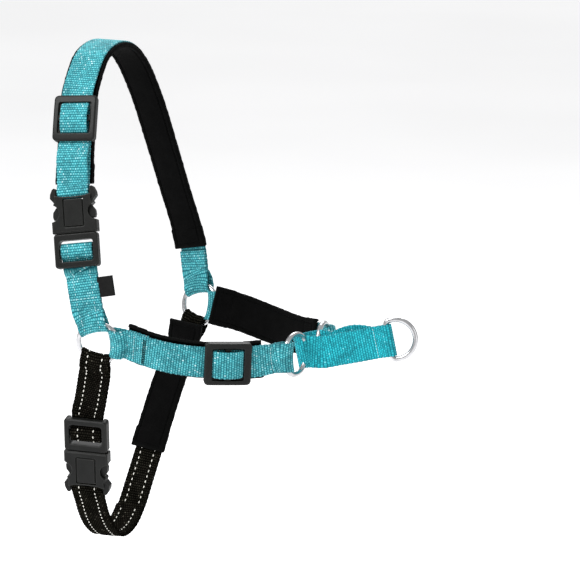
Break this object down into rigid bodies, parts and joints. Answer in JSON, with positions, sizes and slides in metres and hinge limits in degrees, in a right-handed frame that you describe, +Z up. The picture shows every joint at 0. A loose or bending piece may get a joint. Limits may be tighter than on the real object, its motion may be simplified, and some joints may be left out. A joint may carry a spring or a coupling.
{
  "type": "no pull dog harness",
  "caption": "Front-clip dog harness: a girth loop of webbing with side-release buckles, padded chest straps and a martingale loop with a leash ring.",
  "frame": {"origin": "midway between the two girth rings, where the dog's body passes through the girth loop", "axes": "+X forward towards the dog's head and the leash ring, +Y towards the dog's left, +Z up towards the withers"},
  "size_m": [0.283, 0.2088, 0.3989],
  "materials": {
    "teal_webbing": "woven polyester webbing, flecked with pale yarn",
    "plain_teal_webbing": "ribbed nylon webbing, slightly shiny",
    "black_webbing": "woven black webbing with two rows of reflective stitches",
    "neoprene": "knit-faced neoprene foam, sewn edge channels",
    "black_plastic": "moulded acetal with a fine grain",
    "nickel_steel": "nickel-plated steel wire",
    "label_fabric": "folded satin label, plain black"
  },
  "bodies": {
    "shoulder_loop": {"shoulder_webbing_left": "teal_webbing", "shoulder_webbing_crown": "teal_webbing", "shoulder_pad_left": "neoprene", "shoulder_pad_crown": "neoprene", "lower_shoulder_webbing": "teal_webbing", "side_label": "label_fabric", "shoulder_buckle_plug": "black_plastic"},
    "shoulder_right": {"shoulder_webbing_right": "teal_webbing", "shoulder_pad_right": "neoprene", "shoulder_buckle_socket": "black_plastic"},
    "shoulder_slider": {"shoulder_slider": "black_plastic", "shoulder_slider_bite": "teal_webbing"},
    "shoulder_latch_arm_front": {"shoulder_latch_arm_front": "black_plastic"},
    "shoulder_latch_arm_rear": {"shoulder_latch_arm_rear": "black_plastic"},
    "belly_loop": {"belly_webbing_right": "black_webbing", "belly_buckle_plug": "black_plastic", "belly_webbing_left": "black_webbing", "belly_webbing_keel": "black_webbing", "belly_pad_left": "neoprene"},
    "belly_right": {"belly_webbing_lower": "black_webbing", "belly_buckle_socket": "black_plastic"},
    "belly_latch_arm_front": {"belly_latch_arm_front": "black_plastic"},
    "belly_latch_arm_rear": {"belly_latch_arm_rear": "black_plastic"},
    "chest_straps": {"chest_webbing_right": "teal_webbing", "chest_webbing_left": "teal_webbing", "chest_pad_right": "neoprene", "chest_pad_left": "neoprene", "martingale_webbing": "plain_teal_webbing"},
    "chest_slider": {"chest_slider": "black_plastic", "chest_slider_bite": "teal_webbing"},
    "girth_ring_right": {"girth_ring_right": "nickel_steel"},
    "girth_ring_left": {"girth_ring_left": "nickel_steel"},
    "chest_ring_right": {"chest_ring_right": "nickel_steel"},
    "chest_ring_left": {"chest_ring_left": "nickel_steel"},
    "leash_ring": {"leash_ring": "nickel_steel"}
  },
  "joints": [
    {"name": "chest_swing", "type": "hinge", "parent": "shoulder_loop", "child": "chest_straps", "pos_m": [0, 0, 0], "axis": [0, 1, 0], "range_deg": [-5, 5]},
    {"name": "belly_swing", "type": "hinge", "parent": "shoulder_loop", "child": "belly_loop", "pos_m": [0, 0, 0], "axis": [0, 1, 0], "range_deg": [-5, 11]},
    {"name": "leash_ring_swing", "type": "hinge", "parent": "chest_straps", "child": "leash_ring", "pos_m": [0.208, 0, 0.0026], "axis": [-0.2164, 0, 0.9763], "range_deg": [-108, 72]},
    {"name": "shoulder_buckle_release", "type": "slide", "parent": "shoulder_loop", "child": "shoulder_right", "axis": [-0.1761, 0.2161, 0.9604], "range_m": [0, 0.026], "deforming": ["shoulder_webbing_crown", "shoulder_pad_crown", "shoulder_latch_arm_front", "shoulder_latch_arm_rear"]},
    {"name": "belly_buckle_release", "type": "slide", "parent": "belly_loop", "child": "belly_right", "axis": [-0.0793, 0.2062, -0.9753], "range_m": [0, 0.026], "deforming": ["belly_webbing_keel", "belly_latch_arm_front", "belly_latch_arm_rear"]},
    {"name": "shoulder_latch_rear_squeeze", "type": "hinge", "parent": "shoulder_loop", "child": "shoulder_latch_arm_rear", "pos_m": [-0.02924, -0.09489, 0.08613], "axis": [-0.2028, 0.9467, -0.2502], "range_deg": [0, 14], "stiffness_Nm_per_rad": 0.02},
    {"name": "shoulder_latch_front_squeeze", "type": "hinge", "parent": "shoulder_loop", "child": "shoulder_latch_arm_front", "pos_m": [-0.00882, -0.08982, 0.08874], "axis": [0.2028, -0.9467, 0.2502], "range_deg": [0, 14], "stiffness_Nm_per_rad": 0.02},
    {"name": "belly_latch_front_squeeze", "type": "hinge", "parent": "belly_loop", "child": "belly_latch_arm_front", "pos_m": [-0.01233, -0.06535, -0.09445], "axis": [-0.1492, 0.9649, 0.2161], "range_deg": [0, 14], "stiffness_Nm_per_rad": 0.02},
    {"name": "belly_latch_rear_squeeze", "type": "hinge", "parent": "belly_loop", "child": "belly_latch_arm_rear", "pos_m": [-0.03322, -0.06879, -0.09348], "axis": [0.1492, -0.9649, -0.2161], "range_deg": [0, 14], "stiffness_Nm_per_rad": 0.02},
    {"name": "shoulder_slider_adjust", "type": "slide", "parent": "shoulder_right", "child": "shoulder_slider", "axis": [0.1226, -0.3997, -0.9084], "range_m": [-0.008, 0.003]},
    {"name": "chest_slider_adjust", "type": "slide", "parent": "chest_straps", "child": "chest_slider", "axis": [0.8453, 0.5339, -0.0222], "range_m": [-0.003, 0.003]},
    {"name": "girth_ring_right_spin", "type": "hinge", "parent": "shoulder_loop", "child": "girth_ring_right", "pos_m": [0, -0.092, 0], "axis": [0.2034, -0.9568, -0.2079], "continuous": true},
    {"name": "girth_ring_left_spin", "type": "hinge", "parent": "shoulder_loop", "child": "girth_ring_left", "pos_m": [0, 0.092, 0], "axis": [-0.2034, -0.9568, 0.2079], "continuous": true},
    {"name": "chest_ring_right_spin", "type": "hinge", "parent": "chest_straps", "child": "chest_ring_right", "pos_m": [0.1395, -0.026, -0.0095], "axis": [0.9903, -0.1392, 0], "continuous": true},
    {"name": "chest_ring_left_spin", "type": "hinge", "parent": "chest_straps", "child": "chest_ring_left", "pos_m": [0.1395, 0.026, -0.0095], "axis": [-0.9903, -0.1392, 0], "continuous": true}
  ],
  "couplings": [
    {"joint": "shoulder_latch_rear_squeeze", "follows": "shoulder_latch_front_squeeze", "ratio": 1},
    {"joint": "belly_latch_rear_squeeze", "follows": "belly_latch_front_squeeze", "ratio": 1}
  ]
}
